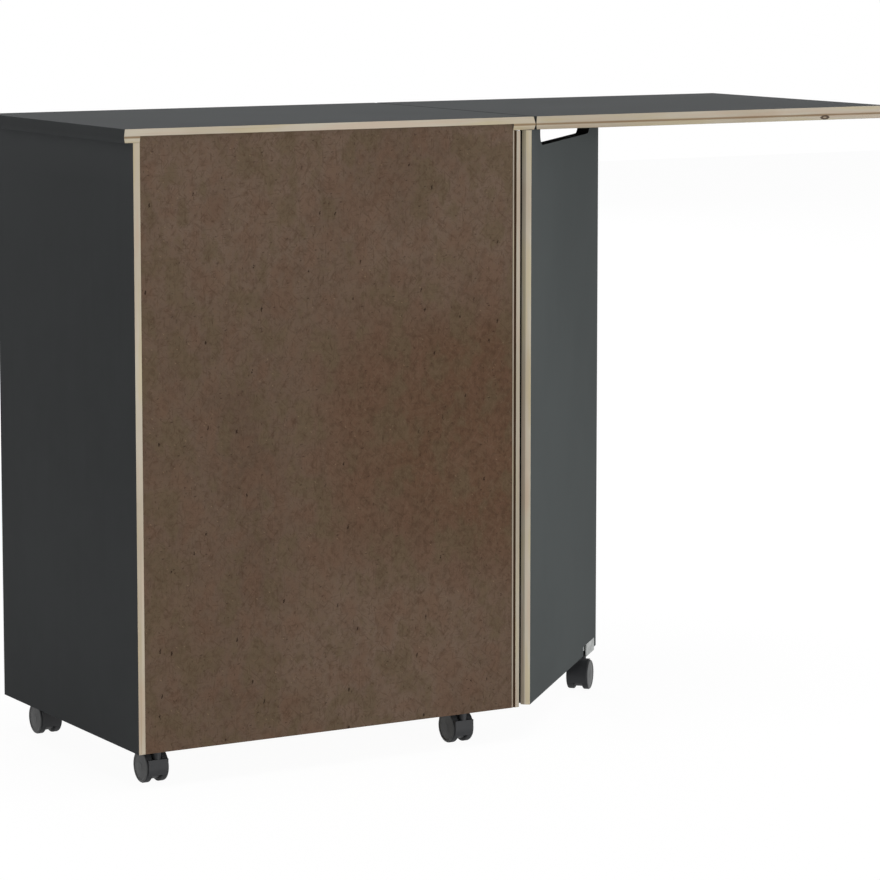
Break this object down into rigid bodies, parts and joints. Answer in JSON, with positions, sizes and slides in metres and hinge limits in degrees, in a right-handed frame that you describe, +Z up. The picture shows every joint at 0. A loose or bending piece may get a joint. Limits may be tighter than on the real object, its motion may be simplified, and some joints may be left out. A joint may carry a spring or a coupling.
{
  "type": "cabinet desk",
  "caption": "Mobile cabinet with drawers, whose worktop has a fold-out leaf carried by a swing-out panel on its own caster.",
  "frame": {"origin": "on the floor, under the middle of the opened worktop", "axes": "+Z up, -Y to the front with the drawers, -X along the opened leaf"},
  "size_m": [1.087, 0.401, 0.77],
  "materials": {
    "painted_pine": "matt paint on pine boards, bare at the rear edges",
    "hardboard": "flecked brown hardboard",
    "bare_pine": "sanded pine",
    "hardwood": "waxed beech",
    "drawer_wood": "sanded pine",
    "plywood": "sanded plywood",
    "brass": "satin",
    "hinge_steel": "black",
    "galvanised_steel": "galvanised",
    "zinc_steel": "zinc plated",
    "black_plastic": "fine matt",
    "wheel_plastic": "fine matt, with lighter discs"
  },
  "bodies": {
    "cabinet": {"worktop": "painted_pine", "side_left": "painted_pine", "side_right": "painted_pine", "base_board": "bare_pine", "back_panel": "hardboard", "hinge_batten": "bare_pine", "drawer_runners": "hardwood", "top_barrels": "brass", "hinge_leaves_fixed": "hinge_steel", "hinge_pins": "zinc_steel", "hinge_screws_fixed": "zinc_steel", "caster_screws": "zinc_steel", "front_left_mount": "zinc_steel", "front_right_mount": "zinc_steel", "rear_left_mount": "zinc_steel", "rear_right_mount": "zinc_steel"},
    "leaf": {"leaf": "painted_pine", "leaf_barrels": "brass"},
    "swing": {"swing_panel": "painted_pine", "hinge_leaves_moving": "hinge_steel", "hinge_screws_moving": "zinc_steel", "caster_bracket": "galvanised_steel", "bracket_screws": "zinc_steel", "swing_stem_post": "zinc_steel"},
    "drawer_1": {"drawer_1_front": "painted_pine", "drawer_1_box": "drawer_wood", "drawer_1_bottom": "plywood"},
    "drawer_2": {"drawer_2_front": "painted_pine", "drawer_2_box": "drawer_wood", "drawer_2_bottom": "plywood"},
    "drawer_3": {"drawer_3_front": "painted_pine", "drawer_3_box": "drawer_wood", "drawer_3_bottom": "plywood"},
    "drawer_4": {"drawer_4_front": "painted_pine", "drawer_4_box": "drawer_wood", "drawer_4_bottom": "plywood"},
    "front_left_swivel": {"front_left_hood": "black_plastic", "front_left_axle": "zinc_steel"},
    "front_left_wheel_a": {"front_left_wheel_a": "wheel_plastic"},
    "front_left_wheel_b": {"front_left_wheel_b": "wheel_plastic"},
    "front_right_swivel": {"front_right_hood": "black_plastic", "front_right_axle": "zinc_steel"},
    "front_right_wheel_a": {"front_right_wheel_a": "wheel_plastic"},
    "front_right_wheel_b": {"front_right_wheel_b": "wheel_plastic"},
    "rear_left_swivel": {"rear_left_hood": "black_plastic", "rear_left_axle": "zinc_steel"},
    "rear_left_wheel_a": {"rear_left_wheel_a": "wheel_plastic"},
    "rear_left_wheel_b": {"rear_left_wheel_b": "wheel_plastic"},
    "rear_right_swivel": {"rear_right_hood": "black_plastic", "rear_right_axle": "zinc_steel"},
    "rear_right_wheel_a": {"rear_right_wheel_a": "wheel_plastic"},
    "rear_right_wheel_b": {"rear_right_wheel_b": "wheel_plastic"},
    "swing_swivel": {"swing_hood": "black_plastic", "swing_axle": "zinc_steel"},
    "swing_wheel_a": {"swing_wheel_a": "wheel_plastic"},
    "swing_wheel_b": {"swing_wheel_b": "wheel_plastic"}
  },
  "joints": [
    {"name": "leaf_fold", "type": "hinge", "parent": "cabinet", "child": "leaf", "pos_m": [-0.0075, 0, 0.77025], "axis": [0, 1, 0], "range_deg": [0, 180]},
    {"name": "panel_swing", "type": "hinge", "parent": "cabinet", "child": "swing", "pos_m": [0.0122, 0.189, 0.4], "axis": [0, 0, -1], "range_deg": [-45, 45]},
    {"name": "drawer_1_slide", "type": "slide", "parent": "cabinet", "child": "drawer_1", "axis": [0, -1, 0], "range_m": [0, 0.3]},
    {"name": "drawer_2_slide", "type": "slide", "parent": "cabinet", "child": "drawer_2", "axis": [0, -1, 0], "range_m": [0, 0.3]},
    {"name": "drawer_3_slide", "type": "slide", "parent": "cabinet", "child": "drawer_3", "axis": [0, -1, 0], "range_m": [0, 0.3]},
    {"name": "drawer_4_slide", "type": "slide", "parent": "cabinet", "child": "drawer_4", "axis": [0, -1, 0], "range_m": [0, 0.3]},
    {"name": "front_left_swivel_turn", "type": "hinge", "parent": "cabinet", "child": "front_left_swivel", "pos_m": [0.0805, -0.127, 0.03], "axis": [0, 0, 1], "continuous": true},
    {"name": "front_left_wheel_a_roll", "type": "hinge", "parent": "front_left_swivel", "child": "front_left_wheel_a", "pos_m": [0.0805, -0.143, 0.0194], "axis": [-1, 0, 0], "continuous": true},
    {"name": "front_left_wheel_b_roll", "type": "hinge", "parent": "front_left_swivel", "child": "front_left_wheel_b", "pos_m": [0.0805, -0.143, 0.0194], "axis": [-1, 0, 0], "continuous": true},
    {"name": "front_right_swivel_turn", "type": "hinge", "parent": "cabinet", "child": "front_right_swivel", "pos_m": [0.497, -0.127, 0.03], "axis": [0, 0, 1], "continuous": true},
    {"name": "front_right_wheel_a_roll", "type": "hinge", "parent": "front_right_swivel", "child": "front_right_wheel_a", "pos_m": [0.497, -0.143, 0.0194], "axis": [-1, 0, 0], "continuous": true},
    {"name": "front_right_wheel_b_roll", "type": "hinge", "parent": "front_right_swivel", "child": "front_right_wheel_b", "pos_m": [0.497, -0.143, 0.0194], "axis": [-1, 0, 0], "continuous": true},
    {"name": "rear_left_swivel_turn", "type": "hinge", "parent": "cabinet", "child": "rear_left_swivel", "pos_m": [0.0805, 0.1745, 0.03], "axis": [0, 0, 1], "continuous": true},
    {"name": "rear_left_wheel_a_roll", "type": "hinge", "parent": "rear_left_swivel", "child": "rear_left_wheel_a", "pos_m": [0.0805, 0.1585, 0.0194], "axis": [-1, 0, 0], "continuous": true},
    {"name": "rear_left_wheel_b_roll", "type": "hinge", "parent": "rear_left_swivel", "child": "rear_left_wheel_b", "pos_m": [0.0805, 0.1585, 0.0194], "axis": [-1, 0, 0], "continuous": true},
    {"name": "rear_right_swivel_turn", "type": "hinge", "parent": "cabinet", "child": "rear_right_swivel", "pos_m": [0.497, 0.1745, 0.03], "axis": [0, 0, 1], "continuous": true},
    {"name": "rear_right_wheel_a_roll", "type": "hinge", "parent": "rear_right_swivel", "child": "rear_right_wheel_a", "pos_m": [0.497, 0.1585, 0.0194], "axis": [-1, 0, 0], "continuous": true},
    {"name": "rear_right_wheel_b_roll", "type": "hinge", "parent": "rear_right_swivel", "child": "rear_right_wheel_b", "pos_m": [0.497, 0.1585, 0.0194], "axis": [-1, 0, 0], "continuous": true},
    {"name": "swing_swivel_turn", "type": "hinge", "parent": "swing", "child": "swing_swivel", "pos_m": [-0.23034, -0.03826, 0.03], "axis": [0, 0, 1], "continuous": true},
    {"name": "swing_wheel_a_roll", "type": "hinge", "parent": "swing_swivel", "child": "swing_wheel_a", "pos_m": [-0.21902, -0.02695, 0.0194], "axis": [0.7071, -0.7071, 0], "continuous": true},
    {"name": "swing_wheel_b_roll", "type": "hinge", "parent": "swing_swivel", "child": "swing_wheel_b", "pos_m": [-0.21902, -0.02695, 0.0194], "axis": [0.7071, -0.7071, 0], "continuous": true}
  ]
}
